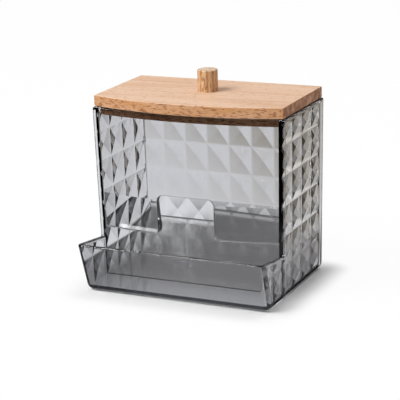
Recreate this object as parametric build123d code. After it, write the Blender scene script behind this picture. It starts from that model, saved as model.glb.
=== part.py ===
from build123d import *
import math
import os

# Swab box with a lift-off wooden lid. Millimetres, +Z up, front towards -Y.
# The origin is under the middle of the whole outline, on the surface that the box stands on.

# Moulded box
BOX_WIDTH = 85.0
BOX_DEPTH = 43.5
BOX_HEIGHT = 74.0
WALL = 2.5
FLOOR = 2.4
DRAFT = 1.2
REAR_EDGE_RADIUS = 0.8

# Open tray in front of the box
TRAY_REACH = 22.0
TRAY_FOOT_REACH = 15.8
TRAY_WALL = 2.0
TRAY_RIM_AT_BOX = 18.5
TRAY_RIM_AT_FRONT = 21.2
TRAY_CORNER_RADIUS = 3.0
TRAY_FOOT_RADIUS = 3.0
RIM_ROUNDING = 0.6

# Pyramid relief on the outside of the walls
CELL_WIDTH = 10.4
CELL_HEIGHT = 12.5
CELL_BORDER = 0.6
RELIEF = 1.1
FIRST_ROW = 1.0
RIM_BAND = 1.4
CORNER_BAND = 0.9
SIDE_COLUMNS = 4
BACK_COLUMNS = 8
ROWS = 6

# Bowed front panel with the thumb notch
PANEL_THICKNESS = 1.8
PANEL_BOW = 4.4
PANEL_BOTTOM = 23.0
NOTCH_WIDTH = 25.0
NOTCH_HEIGHT = 17.0
NOTCH_RADIUS = 3.0
TAB_RADIUS = 2.5
TAB_SWELL = 2.2
TAB_SWELL_HEIGHT = 14.6
PANEL_EDGE_RADIUS = 0.4
BOND_GAP = 0.05

# Sloping ramp under the swabs
RAMP_THICKNESS = 1.5
RAMP_TOE = 0.5
RAMP_TOE_THICKNESS = 0.2
RAMP_TOE_WIDTH = 0.6
RAMP_RISE = 14.4
RAMP_LAND = 3.0

# Lid of two boards
LID_THICKNESS = 4.5
LID_INSET = 0.5
LID_BOW = 6.4
LID_CORNER_RADIUS = 0.8
LID_EDGE_RADIUS = 0.4
SEAT_GAP = 0.3
LOCATING_THICKNESS = 3.5
LOCATING_CLEARANCE = 0.45

# Knob and its screw
KNOB_DIAMETER = 8.4
KNOB_HEIGHT = 9.0
KNOB_EDGE_RADIUS = 0.4
SCREW_DIAMETER = 3.0
SCREW_LENGTH = 14.0
SCREW_TIP = 2.0
SCREW_HEAD_DIAMETER = 5.8
SCREW_HEAD_HEIGHT = 1.6
SCREW_CLEARANCE = 0.1
RECESS_WIDTH = 0.8
RECESS_LENGTH = 3.2
RECESS_DEPTH = 1.0

# Places that follow from the sizes above. Y = 0 of the drawings is the plane of the box's front corners.
REACH = 200.0
HALF_WIDTH = BOX_WIDTH / 2
INNER_HALF = HALF_WIDTH - WALL
INNER_BACK = BOX_DEPTH - WALL
PANEL_TOP = BOX_HEIGHT
NOTCH_TOP = PANEL_BOTTOM + NOTCH_HEIGHT
RAMP_TOP = FLOOR + RAMP_RISE
LID_BOTTOM = BOX_HEIGHT + SEAT_GAP
LID_TOP = LID_BOTTOM + LID_THICKNESS
LOCATING_BOTTOM = LID_BOTTOM - LOCATING_THICKNESS
KNOB_Y = BOX_DEPTH / 2
FRONT_Y = (TRAY_REACH - BOX_DEPTH) / 2
DRAFT_ANGLE = math.degrees(math.atan2(DRAFT, BOX_HEIGHT))


def drafted_block(inset, depth_inset):
    """Block with the draft of the side and back walls, drawn in from them, open to the front."""
    def rectangle(z):
        lean = DRAFT * (BOX_HEIGHT - z) / BOX_HEIGHT
        half = HALF_WIDTH - inset - lean
        back = BOX_DEPTH - depth_inset - lean
        return Plane.XY.offset(z) * Pos(0, (back - REACH) / 2) * Rectangle(2 * half, back + REACH)

    return loft([rectangle(-1.0), rectangle(BOX_HEIGHT + 1.0)], ruled=True)


def side_profile(points):
    """Prism across the whole width from an outline of (y, z) points."""
    face = make_face(Plane.YZ * Polyline(*points, close=True))
    return extrude(face, amount=REACH, both=True)


def tray_front(z, inset=0.0):
    """Y of the tray's leaning front wall at a height."""
    lean = (TRAY_REACH - TRAY_FOOT_REACH) / TRAY_RIM_AT_FRONT
    return -TRAY_FOOT_REACH - lean * z + inset


def tray_rim(y):
    """Height of the tray's rising side rim at a place in front of the box."""
    return TRAY_RIM_AT_BOX + (TRAY_RIM_AT_FRONT - TRAY_RIM_AT_BOX) * -y / TRAY_REACH


def outer_hull():
    """The box and the tray as one solid block, before it is hollowed."""
    outline = make_face(Plane.YZ * Polyline(
        (tray_front(0), 0),
        (tray_front(TRAY_RIM_AT_FRONT), TRAY_RIM_AT_FRONT),
        (0, TRAY_RIM_AT_BOX),
        (0, BOX_HEIGHT),
        (BOX_DEPTH, BOX_HEIGHT),
        (BOX_DEPTH, 0),
        close=True))
    foot = outline.vertices().sort_by(lambda v: v.Y + v.Z)[0]
    outline = fillet(foot, TRAY_FOOT_RADIUS)
    hull = drafted_block(0, 0) & extrude(outline, amount=REACH, both=True)
    aside = hull.edges().filter_by(lambda e: abs(e.center().X) > INNER_HALF)
    front = aside.filter_by(lambda e: e.center().Y < tray_front(0) + TRAY_FOOT_RADIUS)
    hull = fillet(front, TRAY_CORNER_RADIUS)
    rear = hull.edges().filter_by(lambda e: abs(e.tangent_at(0.5).Z) > 0.9 and e.center().Y > INNER_BACK)
    return fillet(rear, REAR_EDGE_RADIUS)


def hollow():
    """The room inside the box and inside the tray."""
    room = drafted_block(WALL, WALL) & side_profile([
        (0, FLOOR), (0, BOX_HEIGHT + 1), (BOX_DEPTH, BOX_HEIGHT + 1), (BOX_DEPTH, FLOOR)])
    top = TRAY_RIM_AT_FRONT + 1
    tray = drafted_block(TRAY_WALL, WALL) & side_profile([
        (tray_front(FLOOR, TRAY_WALL), FLOOR), (tray_front(top, TRAY_WALL), top), (0, top), (0, FLOOR)])
    return room, tray


def pyramid(column, row):
    """One low pyramid of the relief, on a wall lying flat with its outside up at Z = 0."""
    x = (column + 0.5) * CELL_WIDTH
    y = FIRST_ROW + (row + 0.5) * CELL_HEIGHT
    base = Plane.XY.offset(-RELIEF) * Pos(x, y) * Rectangle(CELL_WIDTH - CELL_BORDER, CELL_HEIGHT - CELL_BORDER)
    apex_size = CELL_BORDER / 4
    apex = Plane.XY * Pos(x, y) * Rectangle(apex_size, apex_size)
    return loft([base, apex], ruled=True)


def relief(field, columns, rows):
    """What is cut away from a flat wall: the field down to the relief's depth, less its pyramids."""
    slab = extrude(Plane.XY.offset(-RELIEF) * field, amount=RELIEF + 1)
    return slab - [pyramid(c, r) for c in columns for r in rows]


def field_rectangle(x0, x1, y0, y1):
    return Pos((x0 + x1) / 2, (y0 + y1) / 2) * Rectangle(x1 - x0, y1 - y0)


def side_reliefs():
    """Relief cuts of the right and left walls, box and tray."""
    plane = Plane(origin=(HALF_WIDTH - DRAFT, 0, 0), x_dir=(0, 1, 0), z_dir=(
        math.cos(math.radians(DRAFT_ANGLE)), 0, -math.sin(math.radians(DRAFT_ANGLE))))
    top = BOX_HEIGHT - RIM_BAND
    box_field = field_rectangle(CORNER_BAND, SIDE_COLUMNS * CELL_WIDTH, FIRST_ROW, top)
    box_cut = plane * relief(box_field, range(SIDE_COLUMNS), range(ROWS))
    front = TRAY_CORNER_RADIUS
    tray_field = make_face(Polyline(
        (0, FIRST_ROW),
        (tray_front(FIRST_ROW, front), FIRST_ROW),
        (tray_front(TRAY_RIM_AT_FRONT, front), tray_rim(tray_front(TRAY_RIM_AT_FRONT)) - RIM_BAND),
        (0, TRAY_RIM_AT_BOX - RIM_BAND),
        close=True))
    tray_columns = range(-math.ceil(TRAY_REACH / CELL_WIDTH), 0)
    tray_rows = range(math.ceil(TRAY_RIM_AT_FRONT / CELL_HEIGHT))
    tray_cut = plane * relief(tray_field, tray_columns, tray_rows)
    return [box_cut, tray_cut, mirror(box_cut, Plane.YZ), mirror(tray_cut, Plane.YZ)]


def back_relief():
    """Relief cut of the back wall."""
    plane = Plane(origin=(0, BOX_DEPTH - DRAFT, 0), x_dir=(-1, 0, 0), z_dir=(
        0, math.cos(math.radians(DRAFT_ANGLE)), -math.sin(math.radians(DRAFT_ANGLE))))
    half = min(BACK_COLUMNS * CELL_WIDTH / 2, HALF_WIDTH - DRAFT - CORNER_BAND)
    field = field_rectangle(-half, half, FIRST_ROW, BOX_HEIGHT - RIM_BAND)
    columns = range(-BACK_COLUMNS // 2, BACK_COLUMNS // 2)
    return plane * relief(field, columns, range(ROWS))


def on_rim(edge):
    """True for an edge of the box's top rim or of the tray's rim."""
    place = edge.center()
    if abs(edge.tangent_at(0.5).Z) > 0.5:
        return False
    on_tray = place.Y < 0.01 and abs(place.Z - tray_rim(place.Y)) < RIM_BAND
    return on_tray or abs(place.Z - BOX_HEIGHT) < 0.01


def make_body_shell():
    shell = outer_hull()
    for room in hollow():
        shell = shell - room
    shell = fillet(shell.edges().filter_by(on_rim), RIM_ROUNDING)
    for cut in side_reliefs():
        shell = shell - cut
    return shell - back_relief()


def bow_radius(chord, bow):
    return (chord ** 2 / 4 + bow ** 2) / (2 * bow)


def bow_disc(radius, z0, z1):
    """Cylinder whose front is the bowed panel's outer face when the radius is the panel's own."""
    own = bow_radius(2 * INNER_HALF, PANEL_BOW)
    return Pos(0, own - PANEL_BOW, z0) * Cylinder(
        radius, z1 - z0, align=(Align.CENTER, Align.CENTER, Align.MIN))


def front_half():
    """Everything in front of the middle of the box, for trimming the bowed pieces."""
    return Pos(0, BOX_DEPTH / 2 - REACH / 2, 0) * Box(REACH, REACH, 4 * BOX_HEIGHT)


def make_front_panel():
    """A bowed sheet that thickens inwards down its two tabs, with the edges of its outer face rounded."""
    radius = bow_radius(2 * INNER_HALF, PANEL_BOW)
    inside = radius - PANEL_THICKNESS
    section = make_face(Plane.XZ * Polyline(
        (radius, PANEL_BOTTOM),
        (radius, PANEL_TOP),
        (inside, PANEL_TOP),
        (inside, PANEL_BOTTOM + TAB_SWELL_HEIGHT),
        (inside - TAB_SWELL, PANEL_BOTTOM),
        close=True))
    panel = Pos(0, radius - PANEL_BOW, 0) * revolve(section, Axis.Z)
    panel = panel & front_half() & drafted_block(WALL + BOND_GAP, WALL)
    notch = Pos(0, 0, NOTCH_TOP) * Box(
        NOTCH_WIDTH, BOX_DEPTH, 2 * NOTCH_HEIGHT, align=(Align.CENTER, Align.CENTER, Align.MAX))
    panel = panel - fillet(notch.edges().filter_by(Axis.Y).group_by(Axis.Z)[-1], NOTCH_RADIUS)
    corners = panel.edges().filter_by(
        lambda e: abs(e.center().Z - PANEL_BOTTOM) < 0.01 and abs(abs(e.center().X) - NOTCH_WIDTH / 2) < 0.01)
    panel = fillet(corners, TAB_RADIUS)
    outer_face = panel.faces().sort_by(Axis.Y)[0]
    ends = outer_face.edges().group_by(Axis.X)
    return fillet(outer_face.edges() - ends[0] - ends[-1], PANEL_EDGE_RADIUS)


def make_swab_ramp():
    """A sheet that leans from its thin toe on the floor to the back wall, thickens upwards and ends level."""
    toe = FLOOR + RAMP_TOE_THICKNESS
    crest = INNER_BACK - RAMP_LAND
    slope = (RAMP_TOP - toe) / (crest - RAMP_TOE)
    drop = RAMP_THICKNESS * math.hypot(1, slope)
    sheet = side_profile([
        (RAMP_TOE, FLOOR),
        (RAMP_TOE, toe),
        (crest, RAMP_TOP),
        (INNER_BACK, RAMP_TOP),
        (INNER_BACK, RAMP_TOP + RAMP_LAND * slope - drop),
        (RAMP_TOE + RAMP_TOE_WIDTH, FLOOR)])
    return sheet & drafted_block(WALL + BOND_GAP, WALL + BOND_GAP)


def screw_hole(z0, z1):
    return Pos(0, KNOB_Y, z0) * Cylinder(
        SCREW_DIAMETER / 2 + SCREW_CLEARANCE, z1 - z0, align=(Align.CENTER, Align.CENTER, Align.MIN))


def make_lid_board():
    half = HALF_WIDTH - LID_INSET
    front = LID_INSET
    rear = BOX_DEPTH - LID_INSET
    plan = make_face(Curve() + [
        ThreePointArc((-half, front), (0, front - LID_BOW), (half, front)),
        Polyline((half, front), (half, rear), (-half, rear), (-half, front)),
    ])
    board = extrude(Plane.XY.offset(LID_BOTTOM) * plan, amount=LID_THICKNESS)
    board = fillet(board.edges().filter_by(Axis.Z), LID_CORNER_RADIUS)
    board = fillet(board.edges().filter_by(lambda e: abs(e.tangent_at(0.5).Z) < 0.01), LID_EDGE_RADIUS)
    return board - screw_hole(LID_BOTTOM - 1, LID_TOP + 1)


def make_lid_locating_board():
    radius = bow_radius(2 * INNER_HALF, PANEL_BOW) - PANEL_THICKNESS - LOCATING_CLEARANCE
    board = bow_disc(radius, LOCATING_BOTTOM, LID_BOTTOM)
    slack = LOCATING_CLEARANCE + DRAFT * (BOX_HEIGHT - LOCATING_BOTTOM) / BOX_HEIGHT
    half = INNER_HALF - slack
    board = board & Pos(0, INNER_BACK - slack - REACH / 2, 0) * Box(2 * half, REACH, 4 * BOX_HEIGHT)
    board = board - screw_hole(LOCATING_BOTTOM - 1, LID_BOTTOM + 1)
    return board - Pos(0, KNOB_Y, LOCATING_BOTTOM) * Cone(
        SCREW_HEAD_DIAMETER / 2 + SCREW_CLEARANCE, SCREW_DIAMETER / 2 + SCREW_CLEARANCE, SCREW_HEAD_HEIGHT,
        align=(Align.CENTER, Align.CENTER, Align.MIN))


def make_knob():
    knob = Pos(0, KNOB_Y, LID_TOP) * Cylinder(
        KNOB_DIAMETER / 2, KNOB_HEIGHT, align=(Align.CENTER, Align.CENTER, Align.MIN))
    knob = fillet(knob.edges().sort_by(Axis.Z)[-1], KNOB_EDGE_RADIUS)
    return knob - screw_hole(LID_TOP - 1, LOCATING_BOTTOM + SCREW_LENGTH + SCREW_CLEARANCE)


def make_knob_screw():
    shank = SCREW_DIAMETER / 2
    outline = make_face(Plane.XZ * Polyline(
        (0, 0), (SCREW_HEAD_DIAMETER / 2, 0), (shank, SCREW_HEAD_HEIGHT), (shank, SCREW_LENGTH - SCREW_TIP),
        (shank / 4, SCREW_LENGTH), (0, SCREW_LENGTH), close=True))
    screw = revolve(outline, Axis.Z)
    for turn in (0, 90):
        screw = screw - Rot(0, 0, turn) * Box(
            RECESS_LENGTH, RECESS_WIDTH, RECESS_DEPTH, align=(Align.CENTER, Align.CENTER, Align.MIN))
    return Pos(0, KNOB_Y, LOCATING_BOTTOM) * screw


PIECES = {
    "body_shell": make_body_shell,
    "front_panel": make_front_panel,
    "swab_ramp": make_swab_ramp,
    "lid_board": make_lid_board,
    "lid_locating_board": make_lid_locating_board,
    "knob": make_knob,
    "knob_screw": make_knob_screw,
}

os.makedirs("parts", exist_ok=True)
for name, make in PIECES.items():
    piece = Pos(0, FRONT_Y, 0) * make()
    export_step(piece, os.path.join("parts", name + ".step"))
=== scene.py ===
import math
import bmesh
import bpy
from mathutils import Matrix, Vector

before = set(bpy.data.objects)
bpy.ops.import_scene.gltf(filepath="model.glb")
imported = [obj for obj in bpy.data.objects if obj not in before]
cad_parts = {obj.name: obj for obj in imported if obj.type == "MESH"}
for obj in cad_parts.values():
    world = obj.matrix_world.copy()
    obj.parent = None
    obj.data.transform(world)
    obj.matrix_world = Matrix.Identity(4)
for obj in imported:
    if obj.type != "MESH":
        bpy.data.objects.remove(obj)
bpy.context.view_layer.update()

# Box shell: walls, floor and tray in one moulding.
# Injection-moulded smoky polystyrene, polished inside, with rows of flat pyramids outside.
# It stands on its own floor. The front panel and the ramp are bonded into it.

MM = 0.001


def linear(hex_colour, alpha=1.0):
    """A sRGB hex colour as the linear colour that a shader reads."""
    parts = [int(hex_colour[i:i + 2], 16) / 255 for i in (1, 3, 5)]
    curve = [p / 12.92 if p <= 0.04045 else ((p + 0.055) / 1.055) ** 2.4 for p in parts]
    return (*curve, alpha)


def add_node(tree, kind, settings=None, **links):
    """A node of a kind with its settings. Inputs are set by value or by the socket that feeds them,
    and are named, or numbered as in i0."""
    node = tree.nodes.new(kind)
    for name, value in (settings or {}).items():
        setattr(node, name, value)
    for name, value in links.items():
        key = int(name[1:]) if name[0] == "i" and name[1:].isdigit() else name.replace("_", " ")
        socket = node.inputs[key]
        if isinstance(value, bpy.types.NodeSocket):
            tree.links.new(value, socket)
        else:
            socket.default_value = value
    return node


def new_material(name):
    """An empty node material, its tree and its output node."""
    material = bpy.data.materials.new(name)
    material.use_nodes = True
    material.node_tree.nodes.clear()
    return material, material.node_tree, material.node_tree.nodes.new("ShaderNodeOutputMaterial")


POLYSTYRENE_IOR = 1.59
FLOW_MARK = 14 * MM
FLOW_DEPTH = 0.05 * MM


def smoky_polystyrene(name, tint_hex, absorb_per_mm, roughness):
    """Polished moulded polystyrene. Thin walls look pale grey, and edges that are looked along go
    nearly black, because the smoke dye is in the whole thickness. Long flow marks bend what it shows."""
    material, tree, output = new_material(name)
    place = add_node(tree, "ShaderNodeTexCoord")
    flow = add_node(tree, "ShaderNodeTexNoise", Vector=place.outputs["Object"],
                    Scale=1 / FLOW_MARK, Detail=2.0, Roughness=0.4)
    ripple = add_node(tree, "ShaderNodeBump", Height=flow.outputs["Fac"], Strength=0.35, Distance=FLOW_DEPTH)
    surface = add_node(tree, "ShaderNodeBsdfPrincipled", Base_Color=(1, 1, 1, 1), Roughness=roughness,
                       IOR=POLYSTYRENE_IOR, Transmission_Weight=1.0, Normal=ripple.outputs["Normal"])
    dye = add_node(tree, "ShaderNodeVolumeAbsorption", Color=linear(tint_hex), Density=absorb_per_mm / MM)
    tree.links.new(surface.outputs["BSDF"], output.inputs["Surface"])
    tree.links.new(dye.outputs["Volume"], output.inputs["Volume"])
    return material


def finish_node(name, material):
    """Gives a CAD node one material in every slot."""
    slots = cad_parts[name].data.materials
    for index in range(len(slots)):
        slots[index] = material


finish_node("body_shell", smoky_polystyrene("smoky_polystyrene_shell", "#5F6180", 0.05, 0.02))

# Front panel: the bowed window of the box, with a thumb notch in its lower edge.
# The clearest of the three polystyrene mouldings, bonded between the side walls.

finish_node("front_panel", smoky_polystyrene("smoky_polystyrene_panel", "#6A6C78", 0.03, 0.02))

# Swab ramp: the sloping sheet that rolls the swabs down to the mouth.
# Smoky polystyrene, moulded apart and less polished. It leans from the floor to the back wall.

finish_node("swab_ramp", smoky_polystyrene("smoky_polystyrene_ramp", "#5A5C60", 0.12, 0.12))

# Lid board: the visible board of the lid.
# Flat-sawn beech, sanded and thinly oiled: a pale face, orange edges and dark end grain, their darkness
# partly painted shade.

BAND_LENGTH_MM = 70
FLECK_MM = (2.6, 0.55)
PORE_MM = (9, 0.3)
PORE_DEPTH = 0.04 * MM
BAND_RANGE = (0.42, 0.64)
FLECK_START_FACE = 0.64
FLECK_START_EDGE = 0.52
FLECK_SOFTNESS = 0.1
FLECK_SHARE = 0.75
BEECH_IOR = 1.5


def beech(name, colours, grain_axis, band_mm, band_share, roughness):
    """Sanded beech with its grain along one axis. Long tone bands, fine pores and short dark ray
    flecks make it beech. Upright faces take the edge colour and show more flecks; faces across the grain
    take the end colour. A darker edge or end colour stands for oil drunk in, sawn ends the most, and also
    for painted shade. The colours are those of the face, the edge, the sawn end, the band and the fleck."""
    material, tree, output = new_material(name)
    place = add_node(tree, "ShaderNodeTexCoord")

    def stretched(along_mm, across_mm, detail):
        """Noise that is drawn out along the grain."""
        size = [1 / (across_mm * MM)] * 3
        size[grain_axis] = 1 / (along_mm * MM)
        mapping = add_node(tree, "ShaderNodeMapping", Vector=place.outputs["Object"], Scale=size)
        return add_node(tree, "ShaderNodeTexNoise", Vector=mapping.outputs["Vector"],
                        Scale=1.0, Detail=detail, Roughness=0.55).outputs["Fac"]

    def spread(value, start, full, low=0.0, high=1.0):
        """An even change of a value from low to high."""
        return add_node(tree, "ShaderNodeMapRange", Value=value, From_Min=start, From_Max=full,
                        To_Min=low, To_Max=high).outputs["Result"]

    def tinted(share, below, above):
        """One colour over another, by a share."""
        mix = add_node(tree, "ShaderNodeMix", {"data_type": "RGBA"}, Factor=share, i6=below, i7=above)
        return mix.outputs[2]

    def facing(axis, start, full):
        """How far the surface faces along an axis, either way, from 0 to 1."""
        split = add_node(tree, "ShaderNodeSeparateXYZ", Vector=place.outputs["Normal"])
        size = add_node(tree, "ShaderNodeMath", {"operation": "ABSOLUTE"}, i0=split.outputs[axis])
        return spread(size.outputs[0], start, full)

    face, edge, end, band, fleck = (linear(colour) for colour in colours)
    on_edge = facing(2, 0.85, 0.35)
    ground = tinted(on_edge, face, edge)
    ground = tinted(facing(grain_axis, 0.5, 0.9), ground, end)
    in_band = spread(stretched(BAND_LENGTH_MM, band_mm, 3.0), *BAND_RANGE, 0.0, band_share)
    banded = tinted(in_band, ground, band)
    fleck_start = spread(on_edge, 0.0, 1.0, FLECK_START_FACE, FLECK_START_EDGE)
    fleck_size = add_node(tree, "ShaderNodeMath", {"operation": "SUBTRACT"}, i0=stretched(*FLECK_MM, 1.0),
                          i1=fleck_start)
    marked = tinted(spread(fleck_size.outputs[0], 0.0, FLECK_SOFTNESS, 0.0, FLECK_SHARE), banded, fleck)
    relief = add_node(tree, "ShaderNodeBump", Height=stretched(*PORE_MM, 2.0), Strength=0.5,
                      Distance=PORE_DEPTH)
    surface = add_node(tree, "ShaderNodeBsdfPrincipled", Base_Color=marked,
                       Roughness=roughness, IOR=BEECH_IOR, Normal=relief.outputs["Normal"])
    tree.links.new(surface.outputs["BSDF"], output.inputs["Surface"])
    return material


# The edge and end colours are darker than the face: partly the oil that edges and sawn ends drink, partly
# painted shade, as the lid's sides get less light than its top.
board_colours_with_painted_shade = ("#E8C5A9", "#CF9560", "#8C4F22", "#D8A985", "#8E5529")
finish_node("lid_board", beech("oiled_beech_board", board_colours_with_painted_shade, 0, 3.2, 0.7, 0.5))

# Locating board: the smaller board under the lid that drops inside the walls.
# Sanded beech, a little redder than the lid's face, glued and screwed up under the lid board.

inner_colours = ("#DFB48F", "#E3AE86", "#A8703F", "#C08A62", "#8E5A38")
finish_node("lid_locating_board", beech("sanded_beech_board", inner_colours, 0, 3.2, 0.7, 0.6))

# Knob: a short turned pin of beech with its grain upright.
# It is glued to the lid board and pulled down by the screw. Its turned side cuts across the rings.

knob_colours = ("#EBC69C", "#EEC69A", "#EAD6BC", "#B48252", "#A8713F")
finish_node("knob", beech("turned_beech_knob", knob_colours, 2, 0.9, 0.85, 0.5))

# Knob screw: a countersunk wood screw driven up from below.
# Zinc-plated steel. Only its head shows, under the lid.

TURNING_MARK = 0.4 * MM


def zinc_plate(name):
    """Bright zinc plate on steel: a cool pale metal, a little uneven in its shine."""
    material, tree, output = new_material(name)
    place = add_node(tree, "ShaderNodeTexCoord")
    turned = add_node(tree, "ShaderNodeTexNoise", Vector=place.outputs["Object"], Scale=1 / TURNING_MARK,
                      Detail=2.0)
    rough = add_node(tree, "ShaderNodeMapRange", Value=turned.outputs["Fac"], To_Min=0.25, To_Max=0.45)
    surface = add_node(tree, "ShaderNodeBsdfPrincipled", Base_Color=linear("#C9CBCE"), Metallic=1.0,
                       Roughness=rough.outputs["Result"])
    tree.links.new(surface.outputs["BSDF"], output.inputs["Surface"])
    return material


finish_node("knob_screw", zinc_plate("zinc_plated_steel"))

# Floor: plain white paper. It isn't part of the object, and the camera sees it white.
# For plastic and gloss it is a glowing sheet with painted light and shade: bright behind the box,
# painted darker to the front, left and right, and with a painted shadow under the box, so that clear
# edges and facets stand out. What is only mirrored sees a painted light on its right side.

# How far the paper reaches, how far it lies under the box, and how its white comes in round the box.
FLOOR_REACH = 4.0
FLOOR_DROP = 0.3 * MM
FOOTPRINT = (41.3 * MM, 30.0 * MM, 0)
PAPER = "#FAFAFA"
PAPER_GLOW = 0.95
PAPER_GLOW_RISE = 14 * MM

# Tones: lit behind the box, with painted shade greyer towards the right rear and darkest on the right.
LIT_FLOOR = "#E6E7EB"
PAINTED_FAR_SHADE = "#A59F96"
FAR_DIRECTION = (1.0, 0.7, 0)
FAR_START = 0.0
FAR_FULL = 200 * MM
PAINTED_RIGHT_SHADE = "#79736A"
RIGHT_DIRECTION = (1.0, -0.3, 0)
RIGHT_START = 40 * MM
RIGHT_FULL = 120 * MM

# Where painted shade dims the front and the left.
FRONT_START = -45 * MM
FRONT_FULL = -200 * MM
PAINTED_DIM_FRONT = 0.25
LEFT_DIRECTION = (-1.0, -0.9, 0)
LEFT_START = 18 * MM
LEFT_FULL = 115 * MM
PAINTED_DIM_LEFT = 0.05

# The painted shadow under the tray and under the box, which lies a little to the right and ends faster at
# the sides.
PAINTED_SHADE_UNDER_TRAY = 0.53
PAINTED_SHADE_UNDER_BOX = 0.23
TRAY_FRONT = -25 * MM
TRAY_REAR = 5 * MM
SHADE_SHIFT = (4 * MM, 0, 0)
SHADE_EDGE = 16 * MM
SHADE_END = 80 * MM
SIDE_QUICKNESS = (2.0, 1.0, 0)

# The painted light that only mirrored rays see, to the right of the box.
PAINTED_GLEAM_START = 38 * MM
PAINTED_GLEAM_FULL = 75 * MM
PAINTED_GLEAM = 1.8

floor_mesh = bmesh.new()
bmesh.ops.create_grid(floor_mesh, x_segments=1, y_segments=1, size=FLOOR_REACH)
bmesh.ops.translate(floor_mesh, verts=floor_mesh.verts, vec=(0, 0, -FLOOR_DROP))
floor_data = bpy.data.meshes.new("studio_floor")
floor_mesh.to_mesh(floor_data)
floor_mesh.free()
floor = bpy.data.objects.new("studio_floor", floor_data)
bpy.context.scene.collection.objects.link(floor)
floor_material, tree, output = new_material("paper_floor_with_painted_shade")


def seen_ray(tree):
    """1 for rays from the camera, then 1 for all rays that show the background, in gloss and plastic too."""
    light_path = add_node(tree, "ShaderNodeLightPath")
    first = add_node(tree, "ShaderNodeMath", {"operation": "MAXIMUM"},
                     i0=light_path.outputs["Is Camera Ray"], i1=light_path.outputs["Is Glossy Ray"])
    either = add_node(tree, "ShaderNodeMath", {"operation": "MAXIMUM"}, i0=first.outputs[0],
                      i1=light_path.outputs["Is Transmission Ray"])
    return light_path.outputs["Is Camera Ray"], either.outputs[0]


def ramp_up(tree, value, start, full, low=0.0, high=1.0):
    """A smooth change of a value from low to high."""
    return add_node(tree, "ShaderNodeMapRange", {"interpolation_type": "SMOOTHSTEP"}, Value=value,
                    From_Min=start, From_Max=full, To_Min=low, To_Max=high).outputs["Result"]


def clear_of_box(tree, point, shift, quickness):
    """How far a point of the floor is outside the box's footprint, when that is shifted."""
    moved = add_node(tree, "ShaderNodeVectorMath", {"operation": "SUBTRACT"}, i0=point, i1=shift)
    folded = add_node(tree, "ShaderNodeVectorMath", {"operation": "ABSOLUTE"}, i0=moved.outputs[0])
    beyond = add_node(tree, "ShaderNodeVectorMath", {"operation": "SUBTRACT"}, i0=folded.outputs[0],
                      i1=FOOTPRINT)
    outside = add_node(tree, "ShaderNodeVectorMath", {"operation": "MAXIMUM"}, i0=beyond.outputs[0],
                       i1=(0, 0, 0))
    quick = add_node(tree, "ShaderNodeVectorMath", {"operation": "MULTIPLY"}, i0=outside.outputs[0],
                     i1=quickness)
    size = add_node(tree, "ShaderNodeVectorMath", {"operation": "LENGTH"}, i0=quick.outputs[0])
    return size.outputs["Value"]


def along(tree, point, direction):
    """How far a point lies in a direction."""
    share = add_node(tree, "ShaderNodeVectorMath", {"operation": "DOT_PRODUCT"}, i0=point, i1=direction)
    return share.outputs["Value"]


from_camera, seen = seen_ray(tree)
ground = add_node(tree, "ShaderNodeTexCoord").outputs["Object"]
place = add_node(tree, "ShaderNodeSeparateXYZ", Vector=ground)
gap = clear_of_box(tree, ground, (0, 0, 0), (1, 1, 0))
# The mask of the painted shadow: how far the floor lies outside the shifted footprint.
painted_shadow_reach = clear_of_box(tree, ground, SHADE_SHIFT, SIDE_QUICKNESS)
# Painted shade: the floor's tone greys towards the right rear and darkens on the right.
painted_far_shade_share = ramp_up(tree, along(tree, ground, FAR_DIRECTION), FAR_START, FAR_FULL)
painted_right_shade_share = ramp_up(tree, along(tree, ground, RIGHT_DIRECTION), RIGHT_START, RIGHT_FULL)
painted_far_shade_tone = add_node(tree, "ShaderNodeMix", {"data_type": "RGBA"}, Factor=painted_far_shade_share,
                 i6=linear(LIT_FLOOR), i7=linear(PAINTED_FAR_SHADE))
tone = add_node(tree, "ShaderNodeMix", {"data_type": "RGBA"}, Factor=painted_right_shade_share,
                i6=painted_far_shade_tone.outputs[2], i7=linear(PAINTED_RIGHT_SHADE))
# Painted shade that dims the floor to the front and the left.
sides = add_node(tree, "ShaderNodeMath", {"operation": "MULTIPLY"},
                 i0=ramp_up(tree, place.outputs["Y"], FRONT_FULL, FRONT_START, PAINTED_DIM_FRONT),
                 i1=ramp_up(tree, along(tree, ground, LEFT_DIRECTION), LEFT_START, LEFT_FULL, 1.0, PAINTED_DIM_LEFT))
# Painted shadow, deepest under the box.
painted_shadow_under_box = ramp_up(tree, place.outputs["Y"], TRAY_FRONT, TRAY_REAR, PAINTED_SHADE_UNDER_TRAY, PAINTED_SHADE_UNDER_BOX)
painted_shade_strength = add_node(tree, "ShaderNodeMath", {"operation": "MULTIPLY"}, i0=sides.outputs[0],
                      i1=ramp_up(tree, painted_shadow_reach, SHADE_EDGE, SHADE_END, painted_shadow_under_box))
# Painted light for mirrored rays, to the right of the box.
painted_gleam_glow = add_node(tree, "ShaderNodeMath", {"operation": "MULTIPLY"},
                 i0=add_node(tree, "ShaderNodeLightPath").outputs["Is Reflection Ray"],
                 i1=ramp_up(tree, place.outputs["X"], PAINTED_GLEAM_START, PAINTED_GLEAM_FULL, 0.0, PAINTED_GLEAM))
total = add_node(tree, "ShaderNodeMath", {"operation": "ADD"}, i0=painted_shade_strength.outputs[0], i1=painted_gleam_glow.outputs[0])
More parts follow.
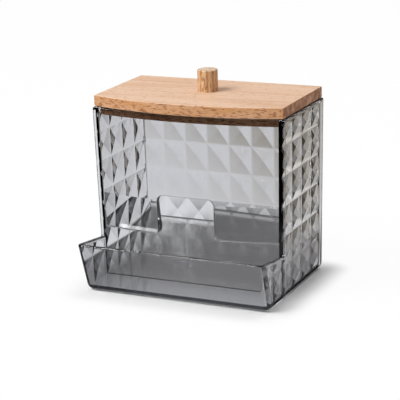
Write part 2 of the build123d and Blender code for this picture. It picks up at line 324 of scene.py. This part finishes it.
# The glow that carries the painted tones, the painted shade and the painted light for plastic and gloss.
studio = add_node(tree, "ShaderNodeEmission", Color=tone.outputs[2], Strength=total.outputs[0])
white = add_node(tree, "ShaderNodeEmission", Color=(1, 1, 1, 1), Strength=1.0)
paper = add_node(tree, "ShaderNodeBsdfDiffuse", Color=linear(PAPER))
glow = ramp_up(tree, gap, 0.0, PAPER_GLOW_RISE, 0.0, PAPER_GLOW)
photographed = add_node(tree, "ShaderNodeMixShader", i0=glow, i1=paper.outputs[0], i2=white.outputs[0])
reflected = add_node(tree, "ShaderNodeMixShader", i0=seen, i1=paper.outputs[0], i2=studio.outputs[0])
blend = add_node(tree, "ShaderNodeMixShader", i0=from_camera, i1=reflected.outputs[0],
                 i2=photographed.outputs[0])
tree.links.new(blend.outputs[0], output.inputs["Surface"])
floor_data.materials.append(floor_material)

# Studio light: an even white room, a large soft lamp at the front left and a weak one above.
# In plastic and gloss the room is dim, and dimmest at the horizon, which makes the clear rims dark.

WORLD_LIGHT = 0.35
HORIZON_LIGHT = 0.25
CEILING_START = 0.35
CEILING_FULL = 0.7
CEILING_LIGHT = 0.3
world = bpy.data.worlds.new("white_studio")
bpy.context.scene.world = world
world.use_nodes = True
tree = world.node_tree
tree.nodes.clear()
output = tree.nodes.new("ShaderNodeOutputWorld")
aim = add_node(tree, "ShaderNodeTexCoord")
rise = add_node(tree, "ShaderNodeSeparateXYZ", Vector=aim.outputs["Generated"])
ceiling = ramp_up(tree, rise.outputs["Z"], CEILING_START, CEILING_FULL, HORIZON_LIGHT, CEILING_LIGHT)
strength = add_node(tree, "ShaderNodeMix", {"data_type": "FLOAT"},
                    i0=seen_ray(tree)[1], i2=WORLD_LIGHT, i3=ceiling)
sky = add_node(tree, "ShaderNodeBackground", Color=(1, 1, 1, 1), Strength=strength.outputs[0])
tree.links.new(sky.outputs[0], output.inputs["Surface"])


def softbox(name, place, target, side, level):
    """A square area lamp. A level of 1 lights a surface that faces it as brightly as it is written."""
    distance = (Vector(target) - Vector(place)).length
    lamp = bpy.data.lights.new(name, "AREA")
    lamp.size = side
    lamp.energy = level * (math.pi * distance) ** 2
    holder = bpy.data.objects.new(name, lamp)
    holder.location = place
    holder.rotation_euler = (Vector(target) - Vector(place)).to_track_quat("-Z", "Y").to_euler()
    bpy.context.scene.collection.objects.link(holder)
    return holder


OBJECT_MIDDLE = (0, 0, 0.04)
softbox("key_softbox", (-0.58, -0.55, 1.0), OBJECT_MIDDLE, 0.7, 0.85)
fill = softbox("top_softbox", (0.1, 0.45, 1.1), OBJECT_MIDDLE, 0.6, 0.2)
fill.visible_glossy = False
fill.visible_transmission = False

# Camera: at the photograph's viewing angle and place, worked out from the corners of the box.
# The lens is given in pixels of a picture 400 pixels wide.

CAMERA_PLACE = Vector((255.0, -532.71, 207.02)) * MM
YAW, PITCH, ROLL = (math.radians(a) for a in (25.594, 16.241, -2.001))
FOCAL_PIXELS = 1489.8
PICTURE_PIXELS = 400
SENSOR_MM = 36
NEAR_LIMIT = 0.01
forward = Vector((-math.sin(YAW) * math.cos(PITCH), math.cos(YAW) * math.cos(PITCH), -math.sin(PITCH)))
level = Vector((math.cos(YAW), math.sin(YAW), 0))
upright = level.cross(forward)
right = math.cos(ROLL) * level + math.sin(ROLL) * upright
up = -math.sin(ROLL) * level + math.cos(ROLL) * upright
camera_data = bpy.data.cameras.new("photo_camera")
camera_data.sensor_width = SENSOR_MM
camera_data.lens = FOCAL_PIXELS * SENSOR_MM / PICTURE_PIXELS
camera_data.clip_start = NEAR_LIMIT
camera = bpy.data.objects.new("photo_camera", camera_data)
turn = Matrix((right, up, -forward)).transposed().to_4x4()
camera.matrix_world = Matrix.Translation(CAMERA_PLACE) @ turn
bpy.context.scene.collection.objects.link(camera)
bpy.context.scene.camera = camera

bpy.context.scene.view_settings.view_transform = "Standard"
